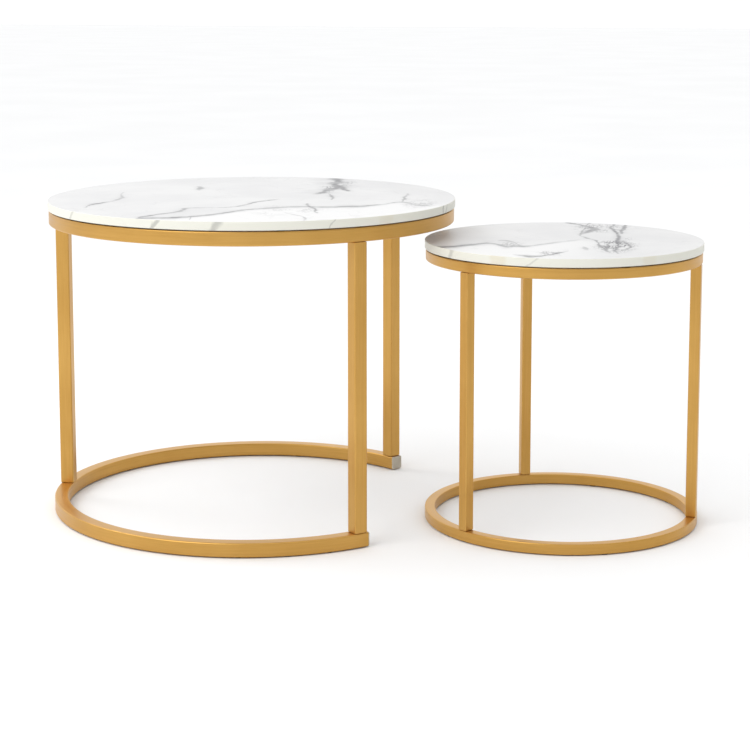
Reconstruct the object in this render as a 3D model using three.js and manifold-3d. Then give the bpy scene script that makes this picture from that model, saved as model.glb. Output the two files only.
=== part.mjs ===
// Two round nesting tables: a large one on an open C-shaped base, and a lower, smaller one on a
// closed ring base that slides in under it. Millimetres, +Z up, floor at Z = 0.
// The small table slides along X between the large table's end legs. The large table stands on the
// -X side with its centre at Y = 0, and the origin lies on the floor under the middle of the pair.

import * as THREE from "three";
import { mergeVertices } from "three/addons/utils/BufferGeometryUtils.js";
import Module from "manifold-3d";

const wasm = await Module();
wasm.setup();

// ---- driving dimensions -------------------------------------------------------------------------

// From the large table's centre to the small table's, as set out beside each other. The side step
// leaves the small table equal room past both end legs as it slides in.
const SET_OUT = { along: 461, aside: 24 };
const PANEL_THICKNESS = 12;
const PANEL_BEVEL = 0.6; // small bevel on both rims of a panel
const PANEL_OVERHANG = 1.5; // panel rim beyond the outer face of the ring under it
const PANEL_GAP = 1.5; // shadow gap between ring and panel, held open by spacers
const TUBE_WALL = 1.2;
const GLIDE_HEIGHT = 1.5; // base rings stand this far off the floor
const GAP = 0.25; // clearance between two pieces that bear on each other
const FIT = 0.3; // radial clearance of a shank in its hole
const CUT = 1; // a cutter runs on this far past the face it cuts through

const END_PLATE = 4; // threaded plate welded into each leg end
const BOLT = { shankRadius: 3, headRadius: 5.25, headHeight: 3.3, length: 13, socket: 4, socketDepth: 2 };
const SCREW = { shankRadius: 2.5, headRadius: 4.75, headHeight: 2.8, socket: 3, socketDepth: 1.6 };
const SCREW_INTO_PANEL = 8;
const HEAD_EDGE = 1.5; // bevel round a fastener's head
const TIP_EDGE = 0.6; // bevel on a fastener's tip
const ACCESS_RADIUS = 6.5; // hole in the far tube wall, for a fastener seated inside the tube
const INSERT = { radius: 4.5, length: 9 };
const SPACER = { radius: 6, play: 0.1 }; // play above and below, in the shadow gap
const GLIDE = { stemRadius: 2.5, stemHeight: 6, edge: 0.5 };
const END_MARGIN = 2; // an open base ring runs on this far past the face of its end leg
const CAP = { head: 1.4, plug: 5, plugCorner: 1, play: 0.6 }; // the plug is short of the bolt head

const LARGE = {
  name: "large",
  centre: [-180.5, 0],
  panelRadius: 300,
  ringTop: 449,
  tube: 20,
  tubeCorner: 2,
  legs: { outer: 187.3, front: -43, rear: 58 },
  openBetween: ["front", "rear"], // the base ring has no tube between these two legs
  screwAngles: [25, 115, 205, 295],
  glideAngles: [68, 93, 153, 225, 283, 308],
  glideRadius: 6,
};

const SMALL = {
  name: "small",
  centre: [LARGE.centre[0] + SET_OUT.along, LARGE.centre[1] + SET_OUT.aside],
  panelRadius: 200,
  ringTop: 397.5,
  tube: 15,
  tubeCorner: 1.5,
  legs: { front: -125, rear: 115.5, outer: -2.4 },
  openBetween: null,
  screwAngles: [64.5, 184.5, 304.5],
  glideAngles: [40, 83, 153, 225, 297],
  glideRadius: 5.5,
};

// Facets round a full turn. Multiples of four, so a facet corner lies on each axis.
const PANEL_FACETS = 72;
const RING_FACETS = 60;
const SMALL_FACETS = 12;

// ---- materials ----------------------------------------------------------------------------------

function finish(color, roughness, metalness) {
  return new THREE.MeshStandardMaterial({ color, roughness, metalness, flatShading: true });
}

const MATERIALS = {
  marble: finish(0xefeeec, 0.3, 0),
  gold: finish(0xb98a45, 0.35, 0.9),
  steel: finish(0xb9bbbd, 0.35, 1),
  brass: finish(0xc9a45a, 0.35, 1),
  nylon: finish(0x2a2a2a, 0.7, 0),
  rubber: finish(0x1f1e1d, 0.85, 0),
  capPlastic: finish(0xd8d4c8, 0.5, 0),
};

// ---- solids -------------------------------------------------------------------------------------

// A three.js geometry as a solid: shared corners merged, collapsed triangles left out.
function solidOf(geometry) {
  const bare = geometry.clone();
  bare.deleteAttribute("normal");
  bare.deleteAttribute("uv");
  const merged = mergeVertices(bare, 1e-4);
  const source = merged.index.array;
  const kept = [];
  for (let i = 0; i < source.length; i += 3) {
    const [a, b, c] = [source[i], source[i + 1], source[i + 2]];
    if (a !== b && b !== c && c !== a) kept.push(a, b, c);
  }
  const vertProperties = Float32Array.from(merged.attributes.position.array);
  const triVerts = Uint32Array.from(kept);
  return new wasm.Manifold(new wasm.Mesh({ numProp: 3, vertProperties, triVerts }));
}

function geometryOf(solid) {
  const mesh = solid.getMesh();
  const geometry = new THREE.BufferGeometry();
  geometry.setAttribute("position", new THREE.BufferAttribute(mesh.vertProperties, 3));
  geometry.setIndex(new THREE.BufferAttribute(mesh.triVerts, 1));
  geometry.computeVertexNormals();
  return geometry;
}

// Turned about +Z: profile points are [radius, height], listed anticlockwise in the (r, z) plane.
function turned(profile, facets) {
  const points = profile.map(([radius, height]) => new THREE.Vector2(radius, height));
  return new THREE.LatheGeometry(points, facets).rotateX(Math.PI / 2);
}

function cylinder(radius, low, high, facets = SMALL_FACETS) {
  return turned([[0, low], [radius, low], [radius, high], [0, high]], facets);
}

// Outline of a square with cut corners, centred on the origin.
function squareOutline(side, corner) {
  const half = side / 2;
  const flat = half - corner;
  if (corner === 0) return [[-half, -half], [half, -half], [half, half], [-half, half]];
  return [
    [-flat, -half], [flat, -half], [half, -flat], [half, flat],
    [flat, half], [-flat, half], [-half, flat], [-half, -flat],
  ];
}

// A straight bar of the given outline from Z = low to Z = high.
function bar(outline, low, high) {
  const shape = new THREE.Shape(outline.map(([x, y]) => new THREE.Vector2(x, y)));
  const settings = { depth: high - low, bevelEnabled: false, steps: 1 };
  return new THREE.ExtrudeGeometry(shape, settings).translate(0, 0, low);
}

function hexagonOutline(acrossFlats) {
  const radius = acrossFlats / Math.sqrt(3);
  const corners = [0, 1, 2, 3, 4, 5].map((i) => (i * Math.PI) / 3);
  return corners.map((angle) => [radius * Math.cos(angle), radius * Math.sin(angle)]);
}

// Moves a geometry from the Z axis to a place on a circle; its local +X then points outwards.
function onCircle(geometry, radius, degrees) {
  const angle = THREE.MathUtils.degToRad(degrees);
  const [x, y] = [radius * Math.cos(angle), radius * Math.sin(angle)];
  return geometry.rotateZ(angle).translate(x, y, 0);
}

// ---- pieces of one table ------------------------------------------------------------------------

const centreRadius = (table) => table.panelRadius - PANEL_OVERHANG - table.tube / 2;

// A square tube bent into a full circle, its lower face at Z = low.
function hollowRing(table, low) {
  const section = (side, corner) => {
    const outline = squareOutline(side, corner);
    const shifted = outline.map(([r, z]) => [centreRadius(table) + r, low + table.tube / 2 + z]);
    return [...shifted, shifted[0]];
  };
  const outside = solidOf(turned(section(table.tube, table.tubeCorner), RING_FACETS));
  const inside = solidOf(turned(section(table.tube - 2 * TUBE_WALL, 0), RING_FACETS));
  return outside.subtract(inside);
}

function drill(solid, table, angles, radius, low, high) {
  let drilled = solid;
  for (const angle of angles) {
    const hole = onCircle(cylinder(radius, low, high), centreRadius(table), angle);
    drilled = drilled.subtract(solidOf(hole));
  }
  return drilled;
}

function topPanel(table) {
  const low = table.ringTop + PANEL_GAP;
  const high = low + PANEL_THICKNESS;
  const rim = table.panelRadius;
  const bevel = PANEL_BEVEL;
  const profile = [
    [0, low], [rim - bevel, low], [rim, low + bevel],
    [rim, high - bevel], [rim - bevel, high], [0, high],
  ];
  const pocketDepth = INSERT.length + GAP;
  const disc = solidOf(turned(profile, PANEL_FACETS));
  return drill(disc, table, table.screwAngles, INSERT.radius + FIT, low - CUT, low + pocketDepth);
}

function topRing(table) {
  const low = table.ringTop - table.tube;
  const middle = table.ringTop - table.tube / 2;
  const high = table.ringTop;
  const legAngles = Object.values(table.legs);
  let ring = hollowRing(table, low);
  ring = drill(ring, table, legAngles, BOLT.shankRadius + FIT, low - CUT, middle);
  ring = drill(ring, table, legAngles, ACCESS_RADIUS, middle, high + CUT);
  ring = drill(ring, table, table.screwAngles, ACCESS_RADIUS, low - CUT, middle);
  return drill(ring, table, table.screwAngles, SCREW.shankRadius + FIT, middle, high + CUT);
}

// The straight cuts that end an open base ring, just beyond its two end legs.
function baseOpening(table) {
  const [front, rear] = table.openBetween.map((leg) => THREE.MathUtils.degToRad(table.legs[leg]));
  const corner = (angle, side, radius) => {
    const offset = side * (table.tube / 2 + END_MARGIN);
    const x = radius * Math.cos(angle) - offset * Math.sin(angle);
    const y = radius * Math.sin(angle) + offset * Math.cos(angle);
    return [x, y];
  };
  const inner = centreRadius(table) - table.tube;
  const outer = 2 * centreRadius(table);
  const outline = [
    corner(front, 1, inner), corner(front, 1, outer),
    corner(rear, -1, outer), corner(rear, -1, inner),
  ];
  return solidOf(bar(outline, GLIDE_HEIGHT - CUT, GLIDE_HEIGHT + table.tube + CUT));
}

function baseRing(table) {
  const low = GLIDE_HEIGHT;
  const middle = low + table.tube / 2;
  const high = low + table.tube;
  const legAngles = Object.values(table.legs);
  let ring = hollowRing(table, low);
  ring = drill(ring, table, legAngles, BOLT.shankRadius + FIT, middle, high + CUT);
  ring = drill(ring, table, legAngles, ACCESS_RADIUS, low - CUT, middle);
  ring = drill(ring, table, table.glideAngles, GLIDE.stemRadius + FIT, low - CUT, middle);
  return table.openBetween ? ring.subtract(baseOpening(table)) : ring;
}

// A leg: square tube, closed at both ends by a welded-in plate with a threaded hole.
function leg(table) {
  const low = GLIDE_HEIGHT + table.tube + GAP;
  const high = table.ringTop - table.tube - GAP;
  const outside = solidOf(bar(squareOutline(table.tube, table.tubeCorner), low, high));
  const boreSide = table.tube - 2 * TUBE_WALL;
  const hollow = solidOf(bar(squareOutline(boreSide, 0), low + END_PLATE, high - END_PLATE));
  const thread = solidOf(cylinder(BOLT.shankRadius + FIT, low - CUT, high + CUT));
  return outside.subtract(hollow).subtract(thread);
}

// A socket-head fastener along +Z: the head's seat is at Z = 0 and the shank runs up from it.
function fastener(size, length) {
  const profile = [
    [0, -size.headHeight], [size.headRadius - HEAD_EDGE, -size.headHeight],
    [size.headRadius, HEAD_EDGE - size.headHeight], [size.headRadius, 0], [size.shankRadius, 0],
    [size.shankRadius, length - TIP_EDGE], [size.shankRadius - TIP_EDGE, length], [0, length],
  ];
  const body = solidOf(turned(profile, SMALL_FACETS));
  const socketTop = size.socketDepth - size.headHeight;
  const socket = bar(hexagonOutline(size.socket), -size.headHeight - CUT, socketTop);
  return body.subtract(solidOf(socket));
}

// A plain sleeve or washer from Z = 0 up.
function sleeve(innerRadius, outerRadius, height) {
  const outside = solidOf(cylinder(outerRadius, 0, height));
  return outside.subtract(solidOf(cylinder(innerRadius, -CUT, height + CUT)));
}

function glide(table) {
  const seat = GLIDE_HEIGHT - GAP;
  const rim = table.glideRadius;
  const profile = [
    [0, 0], [rim - GLIDE.edge, 0], [rim, GLIDE.edge], [rim, seat],
    [GLIDE.stemRadius, seat], [GLIDE.stemRadius, GLIDE.stemHeight], [0, GLIDE.stemHeight],
  ];
  return solidOf(turned(profile, SMALL_FACETS));
}

// The plug for an open tube end, along +Z: its head from Z = 0 up, its plug below.
function endCap(table) {
  const head = solidOf(bar(squareOutline(table.tube, table.tubeCorner), GAP, GAP + CAP.head));
  const plugSide = table.tube - 2 * TUBE_WALL - 2 * CAP.play;
  const plug = solidOf(bar(squareOutline(plugSide, CAP.plugCorner), -CAP.plug, GAP));
  return head.add(plug);
}

// ---- assembly -----------------------------------------------------------------------------------

function piece(name, solid, material) {
  const mesh = new THREE.Mesh(geometryOf(solid), material);
  mesh.name = name;
  return mesh;
}

// Stands a piece made on the Z axis at a place on the tube's centre circle.
function stand(mesh, table, degrees, height) {
  const angle = THREE.MathUtils.degToRad(degrees);
  const radius = centreRadius(table);
  mesh.position.set(radius * Math.cos(angle), radius * Math.sin(angle), height);
  mesh.rotation.z = angle;
  return mesh;
}

// Closes a base ring where its centre circle meets the straight cut beyond a leg.
function endCapPiece(table, legName, side) {
  const angle = THREE.MathUtils.degToRad(table.legs[legName]);
  const cap = piece(`${table.name}_end_cap_${legName}`, endCap(table), MATERIALS.capPlastic);
  const along = new THREE.Vector3(-side * Math.sin(angle), side * Math.cos(angle), 0);
  const outwards = new THREE.Vector3(Math.cos(angle), Math.sin(angle), 0);
  const across = new THREE.Vector3().crossVectors(along, outwards);
  cap.quaternion.setFromRotationMatrix(new THREE.Matrix4().makeBasis(outwards, across, along));
  const reach = table.tube / 2 + END_MARGIN;
  const depth = Math.sqrt(centreRadius(table) ** 2 - reach ** 2);
  cap.position.copy(outwards.multiplyScalar(depth));
  cap.position.addScaledVector(along, reach);
  cap.position.z = GLIDE_HEIGHT + table.tube / 2;
  return cap;
}

function legPieces(table) {
  const upperSeat = table.ringTop - table.tube + TUBE_WALL + GAP;
  const lowerSeat = GLIDE_HEIGHT + table.tube - TUBE_WALL - GAP;
  return Object.entries(table.legs).flatMap(([place, angle]) => {
    const bolt = fastener(BOLT, BOLT.length);
    const tube = piece(`${table.name}_leg_${place}`, leg(table), MATERIALS.gold);
    const upper = piece(`${table.name}_upper_bolt_${place}`, bolt, MATERIALS.steel);
    const lower = piece(`${table.name}_lower_bolt_${place}`, bolt, MATERIALS.steel);
    stand(tube, table, angle, 0);
    stand(upper, table, angle, upperSeat);
    upper.rotation.x = Math.PI;
    stand(lower, table, angle, lowerSeat);
    return [tube, upper, lower];
  });
}

function panelFixings(table) {
  const screwSeat = table.ringTop - TUBE_WALL - GAP;
  const screwLength = TUBE_WALL + GAP + PANEL_GAP + SCREW_INTO_PANEL;
  const panelLow = table.ringTop + PANEL_GAP;
  const bore = SCREW.shankRadius + FIT;
  const spacerHeight = PANEL_GAP - 2 * SPACER.play;
  return table.screwAngles.flatMap((angle, index) => {
    const named = (what, solid, material) => piece(`${table.name}_${what}_${index + 1}`, solid, material);
    const screw = named("panel_screw", fastener(SCREW, screwLength), MATERIALS.steel);
    const insert = named("panel_insert", sleeve(bore, INSERT.radius, INSERT.length), MATERIALS.brass);
    const spacer = named("panel_spacer", sleeve(bore, SPACER.radius, spacerHeight), MATERIALS.nylon);
    stand(screw, table, angle, screwSeat);
    stand(insert, table, angle, panelLow);
    stand(spacer, table, angle, table.ringTop + SPACER.play);
    return [screw, insert, spacer];
  });
}

function glides(table) {
  return table.glideAngles.map((angle, index) => {
    const foot = piece(`${table.name}_glide_${index + 1}`, glide(table), MATERIALS.rubber);
    return stand(foot, table, angle, 0);
  });
}

function buildTable(table) {
  const group = new THREE.Group();
  group.position.set(...table.centre, 0);
  group.add(piece(`${table.name}_top`, topPanel(table), MATERIALS.marble));
  group.add(piece(`${table.name}_top_ring`, topRing(table), MATERIALS.gold));
  group.add(piece(`${table.name}_base_ring`, baseRing(table), MATERIALS.gold));
  group.add(...legPieces(table), ...panelFixings(table), ...glides(table));
  if (table.openBetween) {
    const [front, rear] = table.openBetween;
    group.add(endCapPiece(table, front, 1), endCapPiece(table, rear, -1));
  }
  return group;
}

const nestingTables = new THREE.Group();
nestingTables.add(buildTable(LARGE), buildTable(SMALL));

export default nestingTables;
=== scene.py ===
"""Two round nesting tables: marble-look tops on satin gold square-tube frames. Metres, +Z up.

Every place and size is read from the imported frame. Each CAD node is replaced by a finer piece of
the same size, with rounded edges, drilled holes and a procedural material.
"""

import math

import bmesh
import bpy
from mathutils import Matrix, Vector


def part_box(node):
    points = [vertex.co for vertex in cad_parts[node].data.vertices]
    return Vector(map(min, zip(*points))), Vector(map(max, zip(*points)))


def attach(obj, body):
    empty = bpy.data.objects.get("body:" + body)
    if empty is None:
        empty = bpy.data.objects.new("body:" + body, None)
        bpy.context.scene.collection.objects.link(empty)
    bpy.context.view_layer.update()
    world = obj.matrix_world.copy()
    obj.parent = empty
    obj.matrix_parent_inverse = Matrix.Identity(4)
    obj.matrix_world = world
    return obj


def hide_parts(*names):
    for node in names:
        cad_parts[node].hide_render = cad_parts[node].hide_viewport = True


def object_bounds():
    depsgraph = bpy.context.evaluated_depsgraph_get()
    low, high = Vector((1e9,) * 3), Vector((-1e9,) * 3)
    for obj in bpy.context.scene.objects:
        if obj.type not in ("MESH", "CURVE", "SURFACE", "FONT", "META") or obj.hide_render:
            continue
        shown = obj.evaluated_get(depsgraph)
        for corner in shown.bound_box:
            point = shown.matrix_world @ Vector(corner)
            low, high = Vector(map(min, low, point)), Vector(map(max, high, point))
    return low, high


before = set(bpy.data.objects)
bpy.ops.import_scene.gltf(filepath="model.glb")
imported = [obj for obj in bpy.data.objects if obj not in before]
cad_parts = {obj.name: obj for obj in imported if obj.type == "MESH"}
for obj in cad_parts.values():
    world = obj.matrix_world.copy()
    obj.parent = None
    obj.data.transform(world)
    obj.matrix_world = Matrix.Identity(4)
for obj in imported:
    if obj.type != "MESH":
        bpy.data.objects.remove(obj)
cad_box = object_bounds()

MM = 0.001

# ---- sizes that the frame doesn't state ----------------------------------------------------------

TUBE_WALL = 1.2 * MM
TUBE_ROUND = {"large": 2.0 * MM, "small": 1.5 * MM}  # outer corner radius of each square tube
BORE_ROUND = 0.8 * MM  # corner radius inside a tube
LEG_BEVEL = 0.8 * MM
RIM_ROUND = 1.0 * MM  # both rims of a panel
END_MARGIN = 2 * MM  # an open base ring runs on this far past the face of its end leg
END_PLATE = 4 * MM  # the thickness of the plate in each end of a leg
SHANK_BORE = {"bolt": 3.3 * MM, "screw": 2.8 * MM}  # radii
ACCESS_BORE = 6.5 * MM  # the radius of the holes that heads go in through
CUT = 1 * MM  # a cutter runs on this far past the face it cuts through
INSERT_GROOVES = 5
INSERT_PLAY = {"round": 0.3 * MM, "above": 0.25 * MM}  # air round an insert in its pocket

RING_STEPS = 288
PANEL_STEPS = 360
CORNER_STEPS = 5
ROUND_STEPS = 40  # round a fastener or a glide
HOLE_STEPS = 32
RIM_STEPS = 4  # along a small rounded edge
SHARP_ANGLE = math.radians(32)
FLAT_WEIGHT = 80  # how strongly large faces pull the normals towards their own

# ---- the frame's measures ------------------------------------------------------------------------


class Table:
    """The measures of one table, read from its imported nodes."""

    def __init__(self, name):
        self.name = name
        panel_low, panel_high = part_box(f"{name}_top")
        ring_low, ring_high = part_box(f"{name}_top_ring")
        base_low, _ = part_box(f"{name}_base_ring")
        self.body = f"{name}_table"
        self.centre = (panel_low + panel_high).xy / 2
        self.radius = (panel_high.x - panel_low.x) / 2
        self.panel_low, self.panel_high = panel_low.z, panel_high.z
        self.ring_low, self.ring_high = ring_low.z, ring_high.z
        self.base_low = base_low.z
        self.tube = ring_high.z - ring_low.z
        self.mid_radius = (ring_high.x - ring_low.x - self.tube) / 2
        self.round = TUBE_ROUND[name]

    def nodes(self, word):
        return sorted(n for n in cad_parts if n.startswith(f"{self.name}_{word}"))

    def spot(self, node):
        """Where a node stands, seen from above."""
        low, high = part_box(node)
        return (low + high).xy / 2

    def angle(self, node):
        offset = self.spot(node) - self.centre
        return math.atan2(offset.y, offset.x)


TABLES = [Table("large"), Table("small")]

# ---- node helpers --------------------------------------------------------------------------------

NOISE_SPAN = (0.3, 0.7)  # a noise's values lie mostly between these
EDGE_TURN = (0.995, 0.90)  # how alike the bevelled and the true normal are off an edge, and on it
HIGHLIGHT_PATCHES = (0.42, 0.62)  # the share of a noise that gets the painted edge highlight
MIX_INPUTS, MIX_OUTPUT = (6, 7), 2  # where the Mix node keeps its colours


class Graph:
    """The nodes of a material or world, added one call at a time. Each call gives the new output."""

    def __init__(self, owner, shader="Principled BSDF"):
        owner.use_nodes = True
        self.owner = owner
        self.tree = owner.node_tree
        self.shader = self.tree.nodes[shader]

    def add(self, kind, inputs=None, output=0, **settings):
        made = self.tree.nodes.new(f"ShaderNode{kind}")
        for key, value in settings.items():
            setattr(made, key, value)
        for key, value in (inputs or {}).items():
            self.put(made.inputs[key], value)
        return made.outputs[output]

    def put(self, socket, value):
        if isinstance(value, bpy.types.NodeSocket):
            self.tree.links.new(value, socket)
        else:
            socket.default_value = value

    def math(self, operation, *values, clamp=False):
        return self.add("Math", dict(enumerate(values)), operation=operation, use_clamp=clamp)

    def vector(self, operation, a, b):
        return self.add("VectorMath", {0: a, 1: b}, operation=operation)

    def split(self, vector):
        """The X, Y and Z outputs of a vector."""
        return self.add("SeparateXYZ", {0: vector}, "X").node.outputs

    def around(self, vector):
        """A point's distance from the Z axis, its angle about it in radians, and its height."""
        x, y, z = self.split(vector)
        squares = self.math("ADD", self.math("POWER", x, 2), self.math("POWER", y, 2))
        return self.math("SQRT", squares), self.math("ARCTAN2", y, x), z

    def shake(self, vector, noise, amount):
        """Moves a place by a colour noise, by up to half of amount each way."""
        about_zero = self.vector("SUBTRACT", noise, (0.5,) * 3)
        return self.vector("ADD", vector, self.vector("MULTIPLY", about_zero, (amount,) * 3))

    def ramp(self, value, low, high, to_low=0.0, to_high=1.0):
        """A smooth step from to_low at low to to_high at high."""
        start = {"Value": value, "From Min": low, "From Max": high}
        inputs = {**start, "To Min": to_low, "To Max": to_high}
        return self.add("MapRange", inputs, interpolation_type="SMOOTHSTEP")

    def level(self, noise, low=0.0, high=1.0):
        """Spreads a noise, which stays mostly near 0.5, from low to high."""
        return self.ramp(noise, *NOISE_SPAN, low, high)

    def noise(self, where, scale, detail=2.0, roughness=0.5, output="Fac"):
        inputs = {"Vector": where, "Scale": scale, "Detail": detail, "Roughness": roughness}
        return self.add("TexNoise", inputs, output)

    def mix(self, amount, a, b):
        inputs = {0: amount, MIX_INPUTS[0]: a, MIX_INPUTS[1]: b}
        return self.add("Mix", inputs, MIX_OUTPUT, data_type="RGBA")

    def curve(self, value, points):
        """A smooth curve through points, whose coordinates all lie from 0 to 1."""
        output = self.add("FloatCurve", {"Value": value})
        line = output.node.mapping.curves[0]
        for _ in points[2:]:
            line.points.new(0.5, 0.5)
        for handle, place in zip(line.points, sorted(points)):
            handle.location = place
        output.node.mapping.update()
        return output

    def bump(self, height, strength, distance):
        return self.add("Bump", {"Height": height, "Strength": strength, "Distance": distance})

    def highlight_edges(self, reach, patches):
        """1 along rounded edges, within reach of them, broken up by patches. It marks where the edges
        get a painted highlight.
        """
        softened = self.add("Bevel", {"Radius": reach}, samples=4)
        face = self.add("NewGeometry", output="True Normal")
        same = self.add("VectorMath", {0: softened, 1: face}, "Value", operation="DOT_PRODUCT")
        return self.math("MULTIPLY", self.ramp(same, *EDGE_TURN), self.ramp(patches, *HIGHLIGHT_PATCHES))

    def set(self, **sockets):
        for key, value in sockets.items():
            self.put(self.shader.inputs[key.replace("_", " ")], value)
        return self.owner


def material(name):
    return Graph(bpy.data.materials.new(name))


# ---- materials -----------------------------------------------------------------------------------

GOLD = {
    "light": (0.63, 0.365, 0.10, 1),
    "dark": (0.52, 0.285, 0.068, 1),
    "edge_highlight": (0.72, 0.46, 0.17, 1),
}
GOLD_METAL = 0.9  # the rest is the coating's own scattered colour
GOLD_SATIN = (0.27, 0.35)  # roughness, from the streaks
GOLD_SHARE = {"grain": 0.3, "streak": 0.35, "cloud": 0.35}  # of the light and dark tones
GOLD_RELIEF = (0.12, 0.02 * MM)  # strength and depth of the bumps
GRAIN_STRETCH = (1, 1, 0.02)  # the drawn grain is 50 times as long as it is wide
GRAIN_ROUGHNESS = 0.08
SPECK_HEIGHT = 0.5  # of the grain's height
# Painted highlight along the rounded edges: a paler colour within reach of them, with a lower
# roughness there.
EDGE_HIGHLIGHT = {"reach": 1.6 * MM, "pale": 0.55, "polish": 0.14}
# Each noise as (scale, detail, roughness).
GOLD_NOISE = {
    "grain": (1500, 3, 0.6),
    "streak": (260, 2, 0.6),
    "cloud": (9, 3, 0.5),
    "speck": (2600, 1, 0.5),
    "highlight": (60, 4, 0.65),
}


def gold(name, table=None):
    """Satin gold. The fine drawn grain runs along the legs, or round the table's centre in a ring."""
    g = material(name)
    place = g.add("TexCoord", output="Object")
    grain_place = place
    if table:
        distance, turn, height = g.around(g.vector("SUBTRACT", place, (*table.centre, 0)))
        arc = g.math("MULTIPLY", turn, table.mid_radius)
        grain_place = g.add("CombineXYZ", {0: distance, 1: height, 2: arc})
    drawn = g.vector("MULTIPLY", grain_place, GRAIN_STRETCH)
    grain = g.noise(drawn, *GOLD_NOISE["grain"])
    streak = g.noise(drawn, *GOLD_NOISE["streak"])
    cloud = g.noise(place, *GOLD_NOISE["cloud"])
    speck = g.noise(place, *GOLD_NOISE["speck"])

    tone = g.math("MULTIPLY", cloud, GOLD_SHARE["cloud"])
    tone = g.math("MULTIPLY_ADD", grain, GOLD_SHARE["grain"], tone)
    tone = g.math("MULTIPLY_ADD", streak, GOLD_SHARE["streak"], tone)
    colour = g.mix(g.level(tone), GOLD["dark"], GOLD["light"])
    # The rounded edges are painted paler in patches: a painted highlight.
    highlight = g.highlight_edges(EDGE_HIGHLIGHT["reach"], g.noise(place, *GOLD_NOISE["highlight"]))
    colour = g.mix(g.math("MULTIPLY", highlight, EDGE_HIGHLIGHT["pale"]), colour, GOLD["edge_highlight"])

    satin = g.math("MULTIPLY_ADD", grain, GRAIN_ROUGHNESS, g.level(streak, *GOLD_SATIN))
    roughness = g.math("SUBTRACT", satin, g.math("MULTIPLY", highlight, EDGE_HIGHLIGHT["polish"]))
    relief = g.bump(g.math("MULTIPLY_ADD", speck, SPECK_HEIGHT, grain), *GOLD_RELIEF)
    return g.set(Base_Color=colour, Metallic=GOLD_METAL, Roughness=roughness, Normal=relief)


METAL_SHADE = 0.8  # its darker tone, as a share of its colour
METAL_ROUGHNESS = (-0.06, 0.08)  # about its own value
METAL_RELIEF = (0.2, 0.05 * MM)


def plain_metal(name, colour, roughness, grain_scale):
    """A plated or turned metal with a fine even grain."""
    g = material(name)
    place = g.add("TexCoord", output="Object")
    grain = g.noise(place, grain_scale, 4, 0.6)
    dark = tuple(METAL_SHADE * c for c in colour)
    shade = g.mix(g.level(grain), (*dark, 1), (*colour, 1))
    rough = g.level(grain, *(roughness + change for change in METAL_ROUGHNESS))
    return g.set(Base_Color=shade, Metallic=1.0, Roughness=rough, Normal=g.bump(grain, *METAL_RELIEF))


MOULDED_SHADE = 0.88
MOULDED_ROUGHNESS = (-0.05, 0.08)
MOULDED_RELIEF = 0.35
MOULDED_CLOUD = 60  # the scale of the soft changes of tone


def moulded(name, colour, roughness, grain_scale, depth):
    """A moulded plastic or rubber with a fine pebbled surface."""
    g = material(name)
    place = g.add("TexCoord", output="Object")
    grain = g.noise(place, grain_scale)
    cloud = g.noise(place, MOULDED_CLOUD, 3)
    dark = tuple(MOULDED_SHADE * c for c in colour)
    shade = g.mix(g.level(cloud), (*dark, 1), (*colour, 1))
    rough = g.level(grain, *(roughness + change for change in MOULDED_ROUGHNESS))
    return g.set(Base_Color=shade, Roughness=rough, Normal=g.bump(grain, MOULDED_RELIEF, depth))


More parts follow.
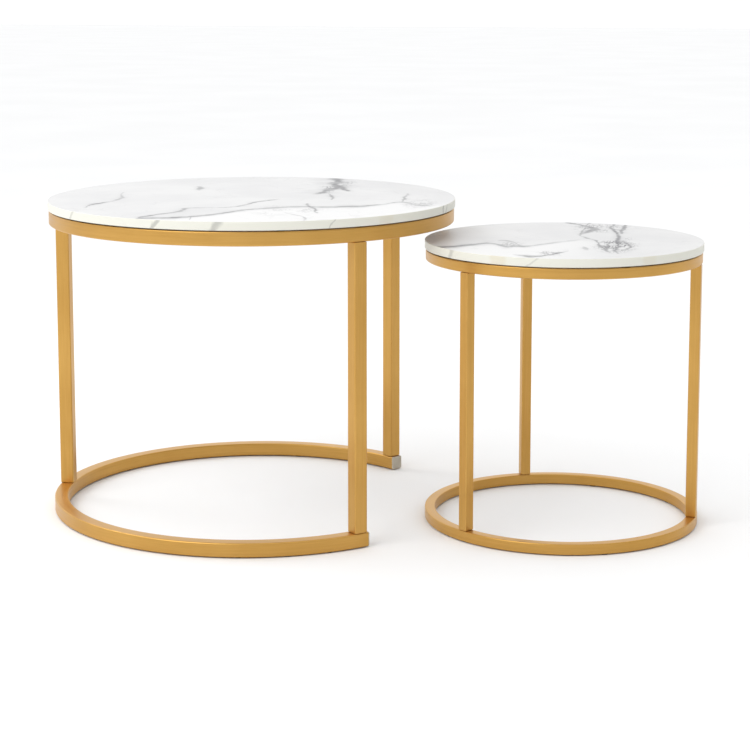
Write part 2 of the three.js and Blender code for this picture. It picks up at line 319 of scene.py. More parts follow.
# Veins, as fractions of the table's radius from its centre. "along" names the axis that a vein
# follows; each point is (along that axis, across it, strength); width is half the width of its dark
# core. The veins that run along X are the wider ones.
VEINS = {
    "large": [
        {"along": "x", "width": 0.046, "points": [
            (-0.30, -0.95, 0.0), (-0.26, -0.93, 0.7), (-0.15, -0.89, 0.9), (-0.04, -0.80, 1.0),
            (0.03, -0.68, 0.9), (0.10, -0.54, 0.7), (0.20, -0.44, 0.55), (0.32, -0.36, 0.6),
            (0.42, -0.36, 0.5), (0.52, -0.31, 0.75), (0.61, -0.28, 0.75), (0.69, -0.19, 0.6),
            (0.75, -0.08, 0.5), (0.81, -0.12, 0.5), (0.88, -0.19, 0.5), (0.93, -0.10, 0.0)]},
        {"along": "y", "width": 0.022, "points": [
            (-0.93, -0.29, 0.0), (-0.88, -0.28, 0.8), (-0.75, -0.23, 0.7), (-0.62, -0.18, 0.6),
            (-0.50, -0.15, 0.7), (-0.45, -0.02, 0.7), (-0.34, 0.055, 0.6), (-0.22, 0.06, 0.9),
            (-0.12, 0.11, 0.8), (-0.05, 0.15, 0.0)]},
        {"along": "y", "width": 0.055, "points": [
            (0.18, 0.27, 0.0), (0.26, 0.285, 0.8), (0.38, 0.30, 0.8), (0.50, 0.315, 1.0),
            (0.62, 0.29, 1.0), (0.76, 0.265, 0.9), (0.90, 0.24, 0.9), (0.98, 0.22, 0.5)]},
        {"along": "y", "width": 0.030, "points": [
            (0.34, 0.41, 0.0), (0.42, 0.38, 1.0), (0.52, 0.34, 0.9), (0.62, 0.30, 0.0)]},
        {"along": "y", "width": 0.020, "points": [
            (-0.04, 0.405, 0.0), (0.06, 0.39, 0.8), (0.16, 0.36, 0.6), (0.26, 0.31, 0.0)]},
        {"along": "y", "width": 0.017, "points": [
            (-0.60, 0.455, 0.0), (-0.48, 0.42, 0.8), (-0.34, 0.365, 0.8), (-0.20, 0.32, 0.0)]},
        {"along": "y", "width": 0.020, "points": [
            (-0.60, -0.66, 0.0), (-0.50, -0.675, 0.8), (-0.44, -0.665, 1.0), (-0.30, -0.625, 0.45),
            (-0.18, -0.615, 0.45), (-0.02, -0.67, 0.3), (0.12, -0.71, 0.0)]},
        {"along": "y", "width": 0.032, "points": [
            (0.24, -0.335, 0.0), (0.34, -0.365, 0.6), (0.44, -0.40, 0.0)]},
        {"along": "y", "width": 0.015, "points": [
            (-0.10, 0.76, 0.0), (0.02, 0.755, 0.6), (0.18, 0.74, 0.5), (0.34, 0.72, 0.0)]},
        {"along": "y", "width": 0.014, "points": [
            (-0.90, 0.47, 0.0), (-0.80, 0.45, 0.4), (-0.68, 0.38, 0.4), (-0.58, 0.30, 0.0)]},
        {"along": "y", "width": 0.014, "points": [
            (-0.96, -0.05, 0.0), (-0.88, -0.06, 0.5), (-0.80, -0.08, 0.0)]},
    ],
    "small": [
        {"along": "x", "width": 0.072, "points": [
            (-0.90, -0.56, 0.0), (-0.82, -0.57, 0.9), (-0.72, -0.53, 1.0), (-0.64, -0.44, 0.9),
            (-0.56, -0.345, 0.8), (-0.47, -0.32, 0.7), (-0.40, -0.41, 0.7), (-0.34, -0.48, 0.8),
            (-0.29, -0.43, 0.75), (-0.22, -0.42, 0.6), (-0.12, -0.30, 0.4), (0.0, -0.12, 0.3),
            (0.12, 0.02, 0.0)]},
        {"along": "x", "width": 0.055, "points": [
            (-0.46, -0.14, 0.0), (-0.40, -0.14, 0.5), (-0.33, -0.22, 0.5), (-0.28, -0.36, 0.5),
            (-0.25, -0.43, 0.0)]},
        {"along": "x", "width": 0.065, "points": [
            (-0.27, -0.84, 0.0), (-0.20, -0.89, 0.6), (-0.14, -0.93, 0.9), (-0.06, -0.88, 1.0),
            (0.0, -0.78, 1.0), (0.05, -0.70, 0.9), (0.08, -0.62, 0.0)]},
        {"along": "y", "width": 0.020, "points": [
            (-0.62, 0.37, 0.0), (-0.50, 0.345, 0.8), (-0.35, 0.31, 0.8), (-0.18, 0.27, 0.8),
            (-0.02, 0.22, 0.7), (0.10, 0.16, 0.6), (0.22, 0.12, 0.4), (0.34, 0.10, 0.7)]},
        {"along": "y", "width": 0.050, "points": [
            (0.28, 0.09, 0.0), (0.40, 0.13, 0.6), (0.54, 0.165, 0.9), (0.66, 0.16, 1.0),
            (0.78, 0.10, 0.9), (0.88, 0.03, 0.9), (0.96, -0.05, 0.8), (1.0, -0.08, 0.0)]},
        {"along": "y", "width": 0.024, "points": [
            (-0.66, 0.43, 0.0), (-0.56, 0.42, 0.8), (-0.42, 0.40, 0.9), (-0.30, 0.42, 1.0),
            (-0.12, 0.39, 1.0), (0.05, 0.38, 1.0), (0.25, 0.37, 0.9), (0.45, 0.35, 1.0),
            (0.56, 0.32, 0.9), (0.72, 0.285, 0.9), (0.88, 0.29, 0.8), (0.99, 0.29, 0.0)]},
        {"along": "y", "width": 0.024, "points": [
            (0.36, 0.39, 0.0), (0.50, 0.385, 0.9), (0.66, 0.38, 0.9), (0.80, 0.385, 1.0),
            (0.95, 0.385, 0.0)]},
        {"along": "y", "width": 0.019, "points": [
            (-0.52, 0.46, 0.0), (-0.40, 0.485, 0.8), (-0.26, 0.50, 0.9), (-0.12, 0.46, 0.8),
            (0.02, 0.40, 0.0)]},
        {"along": "y", "width": 0.019, "points": [
            (-0.50, 0.31, 0.0), (-0.36, 0.35, 0.9), (-0.20, 0.34, 0.8), (0.0, 0.26, 0.0)]},
        {"along": "y", "width": 0.045, "points": [
            (-0.56, 0.22, 0.0), (-0.44, 0.19, 0.4), (-0.32, 0.17, 0.0)]},
    ],
}
PATTERN_TURN = math.radians(-3)  # the boards' veins were set out square to a line 3 degrees off X

VEIN_SWAY = 18 * MM  # slow and quick wavering of every vein
VEIN_SHAKE = 3.5 * MM
VEIN_SWELL = (0.45, 1.3)  # the least and most that noise makes of its width
VEIN_BREAKS = (0.3, 0.6, 0.65, 1.0)  # a noise's span, and the strength left at each end of it
VEIN_SPREAD = 1.1  # places across a vein's route lie from -VEIN_SPREAD to VEIN_SPREAD
VEIN_LEAST = 0.4  # of its width, kept where it fades out
VEIN_FADE = 0.7  # the power of its strength that sets its darkness
# How a vein darkens from out to in: (from, to, 0, darkness), in half widths.
VEIN_CORE = (1.0, 0.2, 0.0, 0.68)
VEIN_HALO = (3.0, 0.4, 0.0, 0.16)
HAIRLINES = (0.006, 0.0, 0.0, 0.07)  # thin faint lines where a noise crosses its middle

# Patches of fine net: (x, y, half width, half length, strength).
CRACKLE = {
    "large": [
        (0.30, 0.55, 0.10, 0.45, 0.7),
        (0.30, -0.50, 0.22, 0.28, 0.3),
        (0.86, -0.12, 0.10, 0.25, 0.4),
    ],
    "small": [
        (0.40, -0.22, 0.20, 0.52, 0.95),
        (0.20, 0.72, 0.26, 0.38, 0.6),
        (-0.02, -0.74, 0.12, 0.18, 0.5),
        (-0.34, -0.36, 0.14, 0.22, 0.5),
    ],
}
NET_SCALE = 185
NET_STRETCH = (1, 0.3, 1)  # its cells are longer along Y
NET_LINE = (0.20, 0.03)  # distance from a cell's edge, as the line darkens
NET_GAPS = (0.40, 0.58)  # a noise's span, from no lines to all of them
NET_FADE = (1.0, 0.3)  # from the rim of a patch inwards

# Marks printed on the edge band: (degrees round the rim at the top, and at the bottom, half width in
# degrees, strength).
RIM_MARKS = {
    "large": [
        (231.2, 229.8, 0.9, 0.25),
        (262.4, 260.5, 1.1, 0.38),
        (278.8, 277.3, 1.6, 0.36),
        (309.3, 307.5, 0.4, 0.28),
        (352.5, 352.0, 0.5, 0.45),
        (356.0, 354.5, 0.4, 0.35),
    ],
    "small": [(228.3, 226.4, 2.0, 0.28), (268.7, 264.0, 0.9, 0.2)],
}
# Warmer stretches of the edge band: (from, to, strength).
RIM_TINTS = {
    "large": [(322, 328, 0.3)],
    "small": [(247.5, 256.5, 0.5), (310, 318, 0.3)],
}
RIM_FULL = {"tint": 0.5, "vein": 0.2}  # the share of a half width that has the full strength
RIM_WAVER = 1.6  # degrees that the marks' sides waver over
RIM_SIDE = (0.9 * MM, 0.3 * MM)  # the surface gives way to the edge band this close to the rim

# The ground is brighter in front of the first vein. The change lies this far across that vein, and
# it fades out this far along X, both as fractions of the radius.
BRIGHT_FRONT = (0.02, -0.14)
BRIGHT_TO = {"large": (1.4, 1.2), "small": (0.45, -0.15)}

MARBLE = {
    "ground": (0.57, 0.57, 0.575, 1),
    "pale": (0.63, 0.63, 0.63, 1),
    "bright": (0.69, 0.69, 0.69, 1),
    "vein": (0.08, 0.08, 0.09, 1),
    "edge": (0.72, 0.715, 0.64, 1),
    "tint": (0.66, 0.60, 0.46, 1),
}
MARBLE_NOISE = {
    "sway": (22, 3, 0.55),
    "shake": (130, 2, 0.5),
    "swell": (38, 3, 0.5),
    "breaks": (90, 3, 0.5),
    "net_gaps": (40, 2, 0.5),
    "hairlines": (5, 3, 0.5),
    "cloud": (7, 4, 0.55),
    "pore": (900, 3, 0.6),
}
MARBLE_SATIN = (0.40, 0.46)  # roughness
VEIN_ROUGHNESS = 0.06  # more than the ground's
PORE_RELIEF = (0.06, 0.03 * MM)


def marble(table):
    """White marble-look laminate: placed veins, crackled nets, soft clouds and a cream edge band."""
    g = material(f"marble_{table.name}")
    place = g.add("TexCoord", output="Object")
    centred = g.vector("SUBTRACT", place, (*table.centre, table.panel_high))
    turn = {"Vector": centred, "Angle": PATTERN_TURN}
    local = g.add("VectorRotate", turn, rotation_type="Z_AXIS")
    quick = g.noise(place, *MARBLE_NOISE["shake"], "Color")
    shaken = g.shake(local, g.noise(place, *MARBLE_NOISE["sway"], "Color"), VEIN_SWAY)
    shaken = g.shake(shaken, quick, VEIN_SHAKE)
    shares = g.vector("DIVIDE", shaken, (table.radius,) * 3)

    dark, front = veins(g, table, place, shares)
    dark = g.math("MAXIMUM", dark, crackle(g, table, place, shaken, shares))
    hair = g.noise(shaken, *MARBLE_NOISE["hairlines"])
    hair = g.math("ABSOLUTE", g.math("SUBTRACT", hair, 0.5))
    dark = g.math("MAXIMUM", dark, g.ramp(hair, *HAIRLINES))

    cloud = g.noise(local, *MARBLE_NOISE["cloud"])
    ground = g.mix(g.level(cloud), MARBLE["ground"], MARBLE["pale"])
    kept = g.ramp(g.split(shares)[0], *BRIGHT_TO[table.name])
    bright = g.math("MULTIPLY", g.ramp(front, *BRIGHT_FRONT), kept)
    ground = g.mix(bright, ground, MARBLE["bright"])
    colour = g.mix(dark, ground, MARBLE["vein"])
    distance, turn, height = g.around(centred)
    side = g.ramp(distance, *(table.radius - inset for inset in RIM_SIDE))
    colour = g.mix(side, colour, edge_band(g, table, turn, height, quick))

    pore = g.noise(place, *MARBLE_NOISE["pore"])
    roughness = g.math("MULTIPLY_ADD", dark, VEIN_ROUGHNESS, g.level(pore, *MARBLE_SATIN))
    return g.set(Base_Color=colour, Roughness=roughness, Normal=g.bump(pore, *PORE_RELIEF))


def veins(g, table, place, shares):
    """How dark all the veins are at each point, and how far the point is across the first one."""
    x, y, _ = g.split(shares)
    swell = g.level(g.noise(place, *MARBLE_NOISE["swell"]), *VEIN_SWELL)
    drawn = [vein(g, {"x": x, "y": y}, line, swell) for line in VEINS[table.name]]
    dark, front = drawn[0]
    for amount, _ in drawn[1:]:
        dark = g.math("MAXIMUM", dark, amount)
    breaks = g.noise(place, *MARBLE_NOISE["breaks"])
    return g.math("MULTIPLY", dark, g.ramp(breaks, *VEIN_BREAKS)), front


def vein(g, flat, line, swell):
    """How dark one vein is at each point, and how far the point is across it."""
    along, across = (flat["x"], flat["y"]) if line["along"] == "x" else (flat["y"], flat["x"])
    points = line["points"]
    start, end = points[0][0], points[-1][0]
    share = g.add("MapRange", {"Value": along, "From Min": start, "From Max": end})
    places, strengths = [], []
    for at, aside, strong in points:
        at = (at - start) / (end - start)
        places.append((at, (aside + VEIN_SPREAD) / (2 * VEIN_SPREAD)))
        strengths.append((at, strong))
    route = g.math("MULTIPLY_ADD", g.curve(share, places), 2 * VEIN_SPREAD, -VEIN_SPREAD)
    strength = g.curve(share, strengths)
    offset = g.math("SUBTRACT", across, route)
    least = VEIN_LEAST * line["width"]
    fullness = g.math("MULTIPLY_ADD", strength, line["width"] - least, least)
    away = g.math("DIVIDE", g.math("ABSOLUTE", offset), g.math("MULTIPLY", swell, fullness))
    shape = g.math("ADD", g.ramp(away, *VEIN_CORE), g.ramp(away, *VEIN_HALO))
    return g.math("MULTIPLY", shape, g.math("POWER", strength, VEIN_FADE), clamp=True), offset


def crackle(g, table, place, shaken, shares):
    """How dark the patches of fine net are at each point."""
    stretched = g.vector("MULTIPLY", shaken, NET_STRETCH)
    cells = {"Vector": stretched, "Scale": NET_SCALE}
    net = g.add("TexVoronoi", cells, "Distance", feature="DISTANCE_TO_EDGE")
    gaps = g.ramp(g.noise(place, *MARBLE_NOISE["net_gaps"]), *NET_GAPS)
    lines = g.math("MULTIPLY", g.ramp(net, *NET_LINE), gaps)
    dark = 0.0
    for x, y, wide, long, strength in CRACKLE[table.name]:
        off = g.vector("DIVIDE", g.vector("SUBTRACT", shares, (x, y, 0)), (wide, long, 1))
        off = g.vector("MULTIPLY", off, (1, 1, 0))
        off = g.add("VectorMath", {0: off}, "Value", operation="LENGTH")
        near = g.ramp(off, *NET_FADE, 0.0, strength)
        dark = g.math("MAXIMUM", dark, g.math("MULTIPLY", lines, near))
    return dark


def edge_band(g, table, turn, height, noise):
    """The colour of the strip round the rim, with its own slanted marks."""
    thickness = table.panel_high - table.panel_low
    depth = g.math("DIVIDE", height, -thickness)  # 0 at the top, 1 at the bottom
    degrees = g.math("WRAP", g.math("DEGREES", turn), 360, 0)
    waver = g.math("MULTIPLY_ADD", g.split(noise)[0], RIM_WAVER, -RIM_WAVER / 2)
    degrees = g.math("ADD", degrees, waver)

    def painted(colour, middle, half, strength, paint):
        away = g.math("ABSOLUTE", g.math("SUBTRACT", degrees, middle))
        amount = g.ramp(away, half, half * RIM_FULL[paint], 0.0, strength)
        return g.mix(amount, colour, MARBLE[paint])

    colour = MARBLE["edge"]
    for start, end, strength in RIM_TINTS[table.name]:
        colour = painted(colour, (start + end) / 2, (end - start) / 2, strength, "tint")
    for top, bottom, half, strength in RIM_MARKS[table.name]:
        middle = g.math("MULTIPLY_ADD", depth, bottom - top, top)
        colour = painted(colour, middle, half, strength, "vein")
    return colour


FLOOR = {"dark": (0.855, 0.86, 0.865, 1), "light": (0.875, 0.88, 0.885, 1)}
FLOOR_CLOUD = 1.5  # the scale of its soft changes of tone
FLOOR_ROUGHNESS = 0.9


def floor_finish():
    g = material("studio_floor")
    place = g.add("TexCoord", output="Object")
    shade = g.mix(g.level(g.noise(place, FLOOR_CLOUD, 3)), FLOOR["dark"], FLOOR["light"])
    return g.set(Base_Color=shade, Roughness=FLOOR_ROUGHNESS)


# ---- mesh helpers --------------------------------------------------------------------------------


def finish_mesh(name, bm, finish):
    """Makes an object of a bmesh, with its normals outwards."""
    bmesh.ops.remove_doubles(bm, verts=bm.verts, dist=1e-7)
    bmesh.ops.recalc_face_normals(bm, faces=bm.faces)
    mesh = bpy.data.meshes.new(name)
    bm.to_mesh(mesh)
    bm.free()
    made = bpy.data.objects.new(name, mesh)
    bpy.context.scene.collection.objects.link(made)
    mesh.materials.append(finish)
    return made


def smooth(made):
    """Smooth shading with sharp edges kept, weighted so that large flat faces stay flat."""
    bm = bmesh.new()
    bm.from_mesh(made.data)
    for face in bm.faces:
        face.smooth = True
    for edge in bm.edges:
        edge.smooth = len(edge.link_faces) == 2 and edge.calc_face_angle() < SHARP_ANGLE
    bm.to_mesh(made.data)
    bm.free()
    weighted = made.modifiers.new("flat faces", "WEIGHTED_NORMAL")
    weighted.keep_sharp = True
    weighted.weight = FLAT_WEIGHT


def quarter(steps):
    """Angles from 0 to a quarter turn."""
    return [math.pi / 2 * i / steps for i in range(steps + 1)]


def rounded_square(side, radius):
    """Points round a square with rounded corners, anticlockwise, centred on the origin."""
    flat = side / 2 - radius
    points = []
    for corner in range(4):
        turn = Matrix.Rotation(corner * math.pi / 2, 2)
        for angle in quarter(CORNER_STEPS):
            rim = radius * Vector((math.cos(angle), math.sin(angle)))
            points.append(turn @ (Vector((flat, flat)) + rim))
    return points


def at_height(section, height):
    """A flat section's points at a height."""
    return [Vector((*p, height)) for p in section]


def bridge(bm, first, second):
    """Quads between two closed loops of the same length."""
    for i in range(len(first)):
        j = (i + 1) % len(first)
        bm.faces.new((first[i], first[j], second[j], second[i]))


def loops(bm, rows, closed=False):
    """A skin over rows of points; closed joins the last row to the first."""
    made = [[bm.verts.new(p) for p in row] for row in rows]
    for first, second in zip(made, made[1:]):
        bridge(bm, first, second)
    if closed:
        bridge(bm, made[-1], made[0])
    return made


def solid(bm, rows):
    """A skin over rows of points, closed by a flat face at each end."""
    made = loops(bm, rows)
    bm.faces.new(made[0])
    bm.faces.new(made[-1])


def circle(radius, height, steps=ROUND_STEPS):
    turns = [2 * math.pi * i / steps for i in range(steps)]
    return [Vector((radius * math.cos(t), radius * math.sin(t), height)) for t in turns]


def turned(bm, profile, steps=ROUND_STEPS):
    """A closed solid of revolution about Z; the profile is (radius, height) from bottom to top."""
    solid(bm, [circle(radius, height, steps) for radius, height in profile])


def lower_rim(radius, low, edge, steps=RIM_STEPS):
    """The profile of a rounded lower rim, up to the full radius."""
    arc = quarter(steps)
    return [(radius - edge + edge * math.sin(a), low + edge * (1 - math.cos(a))) for a in arc]


def upper_rim(radius, high, edge, steps=RIM_STEPS):
    """The profile of a rounded upper rim, from the full radius."""
    arc = quarter(steps)
    return [(radius - edge + edge * math.cos(a), high - edge + edge * math.sin(a)) for a in arc]


def cut(made, cutters):
    """Takes the cutters, each a function that fills a bmesh, away from an object."""
    for fill in cutters:
        bm = bmesh.new()
        fill(bm)
        tool = finish_mesh("cutter", bm, made.data.materials[0])
        modifier = made.modifiers.new("cut", "BOOLEAN")
        modifier.operation = "DIFFERENCE"
        modifier.solver = "EXACT"
        modifier.object = tool
        view = bpy.context.evaluated_depsgraph_get()
        trimmed = bpy.data.meshes.new_from_object(made.evaluated_get(view))
        made.modifiers.clear()
        old = made.data
        made.data = trimmed
        trimmed.name = made.name
        bpy.data.meshes.remove(old)
        bpy.data.objects.remove(tool)


def holes(spots, radius, low, high):
    """Upright round cutters at each of the spots, as one filling."""

    def fill(bm):
        for spot in spots:
            shift = Vector((*spot, 0))
            rows = [[p + shift for p in circle(radius, z, HOLE_STEPS)] for z in (low, high)]
            solid(bm, rows)

    return fill


def stand_for(made, table, node):
    """Smooths a finished piece and lets it stand for its CAD node."""
    smooth(made)
    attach(made, table.body)
    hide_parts(node)


def put_at(bm, spot, angle=0.0, height=0.0):
    """Turns what a bmesh holds about Z, and moves it from the origin to a spot."""
    turn = Matrix.Translation((*spot, height)) @ Matrix.Rotation(angle, 4, "Z")
    bmesh.ops.transform(bm, matrix=turn, verts=bm.verts)


# ---- pieces --------------------------------------------------------------------------------------


def panel(table, finish):
    node = f"{table.name}_top"
    profile = lower_rim(table.radius, table.panel_low, RIM_ROUND)
    profile += upper_rim(table.radius, table.panel_high, RIM_ROUND)
    bm = bmesh.new()
    turned(bm, profile, PANEL_STEPS)
    put_at(bm, table.centre)
    made = finish_mesh(f"{node}_panel", bm, finish)
    inserts = table.nodes("panel_insert")
    low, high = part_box(inserts[0])
    spots = [table.spot(n) for n in inserts]
    bore = (high.x - low.x) / 2 + INSERT_PLAY["round"]
    cut(made, [holes(spots, bore, table.panel_low - CUT, high.z + INSERT_PLAY["above"])])
    stand_for(made, table, node)


def ring(table, node, low, opening=None):
    """The hollow square tube bent round the table, open between two angles if opening is given."""
    middle = low + table.tube / 2
    outer = rounded_square(table.tube, table.round)
    inner = rounded_square(table.tube - 2 * TUBE_WALL, BORE_ROUND)

    def row(section, turn):
        """One section of the tube; turn(radius) is the angle at that radius."""
        points = []
        for p in section:
            radius = table.mid_radius + p.x
            angle = turn(radius)
            points.append(Vector((radius * math.cos(angle), radius * math.sin(angle), middle + p.y)))
        return points

    bm = bmesh.new()
    if opening is None:
        turns = [(lambda _, a=2 * math.pi * i / RING_STEPS: a) for i in range(RING_STEPS)]
        loops(bm, [row(outer, t) for t in turns], closed=True)
        loops(bm, [row(inner, t) for t in turns], closed=True)
    else:
        front, rear = opening
        reach = table.tube / 2 + END_MARGIN
        span = front + 2 * math.pi - rear
        steps = round(RING_STEPS * span / (2 * math.pi))

        def turn_at(share):
            # from the rear end's straight cut, round the far side, to the front end's
            return lambda radius: rear + span * share + math.asin(reach / radius) * (2 * share - 1)

        turns = [turn_at(i / steps) for i in range(steps + 1)]
        skin = loops(bm, [row(outer, t) for t in turns])
        bore = loops(bm, [row(inner, t) for t in turns])
        bridge(bm, skin[0], bore[0])
        bridge(bm, skin[-1], bore[-1])
    put_at(bm, table.centre)
    return finish_mesh(f"{node}_tube", bm, GOLD_RING[table.name])


def top_ring(table):
    node = f"{table.name}_top_ring"
    made = ring(table, node, table.ring_low)
    low, high = table.ring_low - CUT, table.ring_high + CUT
    middle = table.ring_low + table.tube / 2
    legs = [table.spot(n) for n in table.nodes("leg")]
    screws = [table.spot(n) for n in table.nodes("panel_screw")]
    cut(made, [
        holes(legs, SHANK_BORE["bolt"], low, middle),
        holes(legs, ACCESS_BORE, middle, high),
        holes(screws, ACCESS_BORE, low, middle),
        holes(screws, SHANK_BORE["screw"], middle, high),
    ])
    stand_for(made, table, node)


def base_ring(table):
    node = f"{table.name}_base_ring"
    caps = table.nodes("end_cap")
    ends = ("leg_front", "leg_rear")
    opening = [table.angle(f"{table.name}_{leg}") for leg in ends] if caps else None
    made = ring(table, node, table.base_low, opening)
    low, high = table.base_low - CUT, table.base_low + table.tube + CUT
    middle = table.base_low + table.tube / 2
    legs = [table.spot(n) for n in table.nodes("leg")]
    feet = [table.spot(n) for n in table.nodes("glide")]
    cut(made, [
        holes(legs, SHANK_BORE["bolt"], middle, high),
        holes(legs, ACCESS_BORE, low, middle),
        holes(feet, SHANK_BORE["screw"], low, middle),
    ])
    stand_for(made, table, node)


def leg(table, node):
    """A square tube with bevelled ends, closed by a drilled plate at each end."""
    low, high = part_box(node)
    full = rounded_square(table.tube, table.round)
    slim = rounded_square(table.tube - 2 * LEG_BEVEL, table.round - LEG_BEVEL / 2)
    bore = rounded_square(table.tube - 2 * TUBE_WALL, BORE_ROUND)
    plates = (low.z + END_PLATE, high.z - END_PLATE)
    bm = bmesh.new()
    solid(bm, [
        at_height(slim, low.z),
        at_height(full, low.z + LEG_BEVEL),
        at_height(full, high.z - LEG_BEVEL),
        at_height(slim, high.z),
    ])
    solid(bm, [at_height(bore, z) for z in plates])
    put_at(bm, table.spot(node), table.angle(node))
    made = finish_mesh(f"{node}_tube", bm, GOLD_LEG)
    spots = [table.spot(node)]
    cut(made, [
        holes(spots, SHANK_BORE["bolt"], low.z - CUT, plates[0] + CUT),
        holes(spots, SHANK_BORE["bolt"], plates[1] - CUT, high.z + CUT),
    ])
    stand_for(made, table, node)


def hexagon(bm, across, low, high):
    solid(bm, [circle(across / math.sqrt(3), z, 6) for z in (low, high)])


# Head radius, head height, shank radius, socket width across flats and its depth.
BOLT = (5.25 * MM, 3.3 * MM, 3.0 * MM, 4 * MM, 2 * MM)
SCREW = (4.75 * MM, 2.8 * MM, 2.5 * MM, 3 * MM, 1.6 * MM)
FASTENERS = {"upper_bolt": BOLT, "lower_bolt": BOLT, "panel_screw": SCREW}


def fastener(table, node, kind):
    """A socket-head bolt or screw with a rounded head and a threaded shank."""
    head, thick, shank, socket, depth = FASTENERS[kind]
    low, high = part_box(node)
    length = high.z - low.z - thick
    edge, tip = 1.2 * MM, 0.6 * MM
    pitch, groove = 0.9 * MM, 0.3 * MM
    profile = lower_rim(head, 0, edge, steps=5)
    profile += [(head, thick), (shank, thick)]
    turns = int((length - 2 * tip) / pitch)
    for i in range(turns):
        height = thick + tip + i * pitch
        profile += [(shank, height), (shank - groove, height + pitch / 2)]
    profile += [(shank, thick + length - tip), (shank - tip, thick + length)]
    bm = bmesh.new()
    turned(bm, profile)
    upright = kind != "upper_bolt"
    if not upright:
        flip = Matrix.Translation((0, 0, high.z - low.z)) @ Matrix.Rotation(math.pi, 4, "X")
        bmesh.ops.transform(bm, matrix=flip, verts=bm.verts)
    put_at(bm, table.spot(node), table.angle(node), low.z)
    made = finish_mesh(f"{node}_turned", bm, STEEL)

    def fill(cutter):
        span = (low.z - CUT, low.z + depth) if upright else (high.z - depth, high.z + CUT)
        hexagon(cutter, socket, *span)
        put_at(cutter, table.spot(node), table.angle(node))

    cut(made, [fill])
    stand_for(made, table, node)


def sleeve(table, node, bore, grooves, finish):
    """A turned sleeve or washer, with a number of grooves round its outside."""
    low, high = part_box(node)
    radius = (high.x - low.x) / 2
    edge = min(0.3 * MM, (high.z - low.z) / 4)
    profile = [(radius - edge, low.z), (radius, low.z + edge)]
    step = (high.z - low.z - 2 * edge) / (grooves + 1)
    for i in range(grooves):
        height = low.z + edge + (i + 1) * step
        profile += [(radius, height - step / 4), (radius - edge, height), (radius, height + step / 4)]
    profile += [(radius, high.z - edge), (radius - edge, high.z)]
    bm = bmesh.new()
    loops(bm, [circle(r, z) for r, z in profile + [(bore, high.z), (bore, low.z)]], closed=True)
    put_at(bm, table.spot(node))
    made = finish_mesh(f"{node}_turned", bm, finish)
    stand_for(made, table, node)


def glide(table, node):
    """A rubber foot: a domed pad with a barbed stem pushed up into the ring."""
    low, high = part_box(node)
    radius = (high.x - low.x) / 2
    seat = table.base_low - 0.25 * MM
    chamfer = 0.2 * MM
    neck, barb, point, tip = 2.2 * MM, 2.5 * MM, 1.9 * MM, 1.6 * MM  # radii up the stem
    profile = lower_rim(radius, low.z, 0.5 * MM)
    profile += [(radius, seat - chamfer), (radius - chamfer, seat), (neck, seat)]
    profile += [(neck, high.z - 3 * MM), (barb, high.z - 2.4 * MM)]
    profile += [(point, high.z - 0.3 * MM), (tip, high.z)]
    bm = bmesh.new()
    turned(bm, profile)
    put_at(bm, table.spot(node))
    made = finish_mesh(f"{node}_moulded", bm, RUBBER)
    stand_for(made, table, node)


def end_cap(table, node):
    """A plug with a softly rounded head that closes one end of the open base ring."""
    head_thick, edge, lift = 1.4 * MM, 0.6 * MM, 0.25 * MM
    plug_long, play, taper = 5 * MM, 0.6 * MM, 1 * MM
    corner, tip_corner = 1 * MM, 0.8 * MM
    front = node.endswith("front")
    angle = table.angle(f"{table.name}_leg_{'front' if front else 'rear'}")
    side = 1 if front else -1
    along = Vector((-side * math.sin(angle), side * math.cos(angle), 0))
    outwards = Vector((math.cos(angle), math.sin(angle), 0))
    reach = table.tube / 2 + END_MARGIN
    depth = math.sqrt(table.mid_radius**2 - reach**2)
    centre = Vector((*table.centre, table.base_low + table.tube / 2))
    origin = centre + depth * outwards + reach * along

    plug = table.tube - 2 * TUBE_WALL - 2 * play
    rows = [
        at_height(rounded_square(plug - 2 * taper, tip_corner), -plug_long),
        at_height(rounded_square(plug, corner), taper - plug_long),
        at_height(rounded_square(plug, corner), lift),
        at_height(rounded_square(table.tube, table.round), lift),
    ]
    for angle in quarter(RIM_STEPS):
        inset = edge * (1 - math.cos(angle))
        height = lift + head_thick - edge + edge * math.sin(angle)
        square = rounded_square(table.tube - 2 * inset, table.round - inset / 2)
        rows.append(at_height(square, height))
    bm = bmesh.new()
    solid(bm, rows)
    basis = Matrix((outwards, along.cross(outwards), along)).transposed().to_4x4()
    bmesh.ops.transform(bm, matrix=Matrix.Translation(origin) @ basis, verts=bm.verts)
    made = finish_mesh(f"{node}_moulded", bm, CAP_PLASTIC)
    stand_for(made, table, node)


def build(table):
    panel(table, marble(table))
    top_ring(table)
    base_ring(table)
    for node in table.nodes("leg"):
        leg(table, node)
    for kind in FASTENERS:
        for node in table.nodes(kind):
            fastener(table, node, kind)
    for node in table.nodes("panel_insert"):
        sleeve(table, node, SHANK_BORE["screw"], INSERT_GROOVES, BRASS)
    for node in table.nodes("panel_spacer"):
        sleeve(table, node, SHANK_BORE["screw"], 0, NYLON)
    for node in table.nodes("glide"):
        glide(table, node)
    for node in table.nodes("end_cap"):
        end_cap(table, node)


GOLD_LEG = gold("satin_gold_leg")
GOLD_RING = {t.name: gold(f"satin_gold_ring_{t.name}", t) for t in TABLES}
STEEL = plain_metal("zinc_plated_steel", (0.62, 0.63, 0.65), 0.34, 700)
BRASS = plain_metal("turned_brass", (0.72, 0.55, 0.24), 0.30, 900)
NYLON = moulded("black_nylon", (0.045, 0.045, 0.048), 0.55, 900, 0.03 * MM)
RUBBER = moulded("black_rubber", (0.03, 0.03, 0.03), 0.75, 1200, 0.05 * MM)
CAP_PLASTIC = moulded("warm_grey_plastic", (0.52, 0.47, 0.38), 0.42, 1000, 0.03 * MM)

for each in TABLES:
    build(each)

# ---- studio --------------------------------------------------------------------------------------

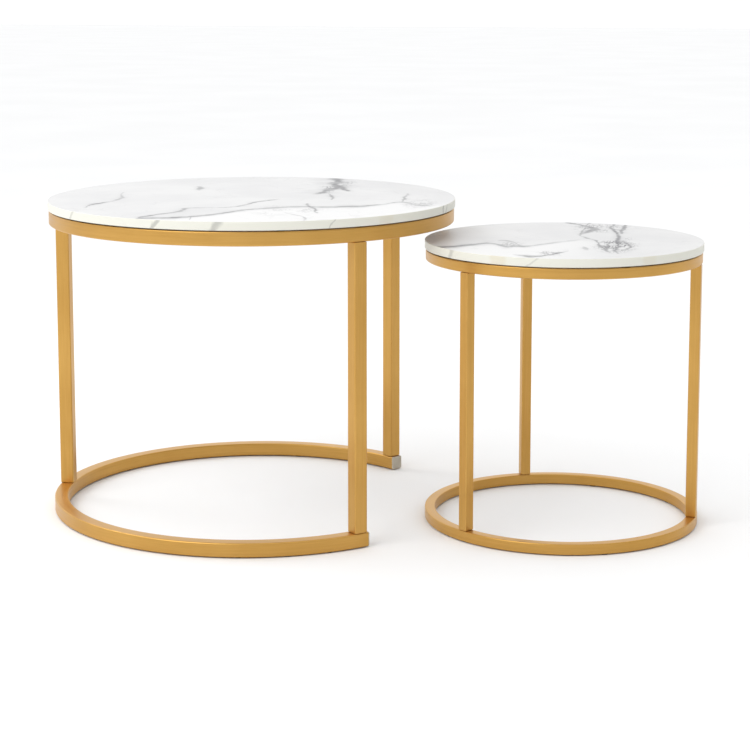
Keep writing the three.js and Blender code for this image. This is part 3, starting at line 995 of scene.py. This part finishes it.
FLOOR_SIZE = 60.0
# The sky's strength low down, away from its bright side (in degrees from +X) and towards it, and
# high up, with the heights of the direction that it changes between.
SKY = {"bright_side": 140, "low": (0.41, 1.11), "high": 1.25, "rise": (0.25, 0.75)}
AIM = (0, 0, 0.25)  # both softboxes point here
KEY = {"at": (-1.3, -2.4, 2.3), "size": 2.2, "power": 40}
SIDE = {"at": (-2.2, 0.6, 2.35), "size": 0.9, "power": 11}  # to the left and a little behind


def softbox(name, at, size, power):
    lamp = bpy.data.lights.new(name, "AREA")
    lamp.shape = "SQUARE"
    lamp.size = size
    lamp.energy = power
    made = bpy.data.objects.new(name, lamp)
    bpy.context.scene.collection.objects.link(made)
    made.location = at
    aim = Vector(AIM) - Vector(at)
    made.rotation_euler = aim.to_track_quat("-Z", "Y").to_euler()


def soft_sky():
    """Soft light all round: brightest overhead, and brighter low down towards the left rear."""
    g = Graph(bpy.data.worlds.new("studio"), "Background")
    direction = g.add("TexCoord", output="Generated")
    side = math.radians(SKY["bright_side"])
    bright = (math.cos(side), math.sin(side), 0)
    towards = g.add("VectorMath", {0: direction, 1: bright}, "Value", operation="DOT_PRODUCT")
    low = g.ramp(towards, -1, 1, *SKY["low"])
    rise = g.ramp(g.split(direction)[2], *SKY["rise"])
    level = g.add("Mix", {0: rise, 2: low, 3: SKY["high"]}, 0)
    return g.set(Color=(1, 1, 1, 1), Strength=level)


def studio():
    half = FLOOR_SIZE / 2
    bm = bmesh.new()
    corners = [(-half, -half), (half, -half), (half, half), (-half, half)]
    bm.faces.new([bm.verts.new((x, y, cad_box[0].z)) for x, y in corners])
    finish_mesh("studio_floor", bm, floor_finish())
    softbox("key_softbox", **KEY)
    softbox("side_softbox", **SIDE)
    bpy.context.scene.world = soft_sky()
    bpy.context.scene.view_settings.view_transform = "Standard"
    bpy.context.scene.view_settings.look = "None"


# The camera stands in front of the large table, a little to its right, looks past it and slightly
# down. Its heading is measured from +Y towards -X.
HEADING = math.radians(14.0)
PITCH = math.radians(7.835)
DISTANCE = 2.8630
ASIDE = 0.1814
HEIGHT = 0.7803
LENS = 93.31
SENSOR = 36.0
SHIFT = -0.17  # of the frame's width: the frame reaches further down than up


def camera():
    lens = bpy.data.cameras.new("camera")
    lens.sensor_fit = "HORIZONTAL"
    lens.sensor_width = SENSOR
    lens.lens = LENS
    lens.shift_y = SHIFT
    made = bpy.data.objects.new("camera", lens)
    bpy.context.scene.collection.objects.link(made)
    offset = Matrix.Rotation(HEADING, 2) @ Vector((ASIDE, -DISTANCE))
    made.location = (*(TABLES[0].centre + offset), HEIGHT)
    made.rotation_euler = (math.pi / 2 - PITCH, 0, HEADING)
    bpy.context.scene.camera = made


studio()
camera()
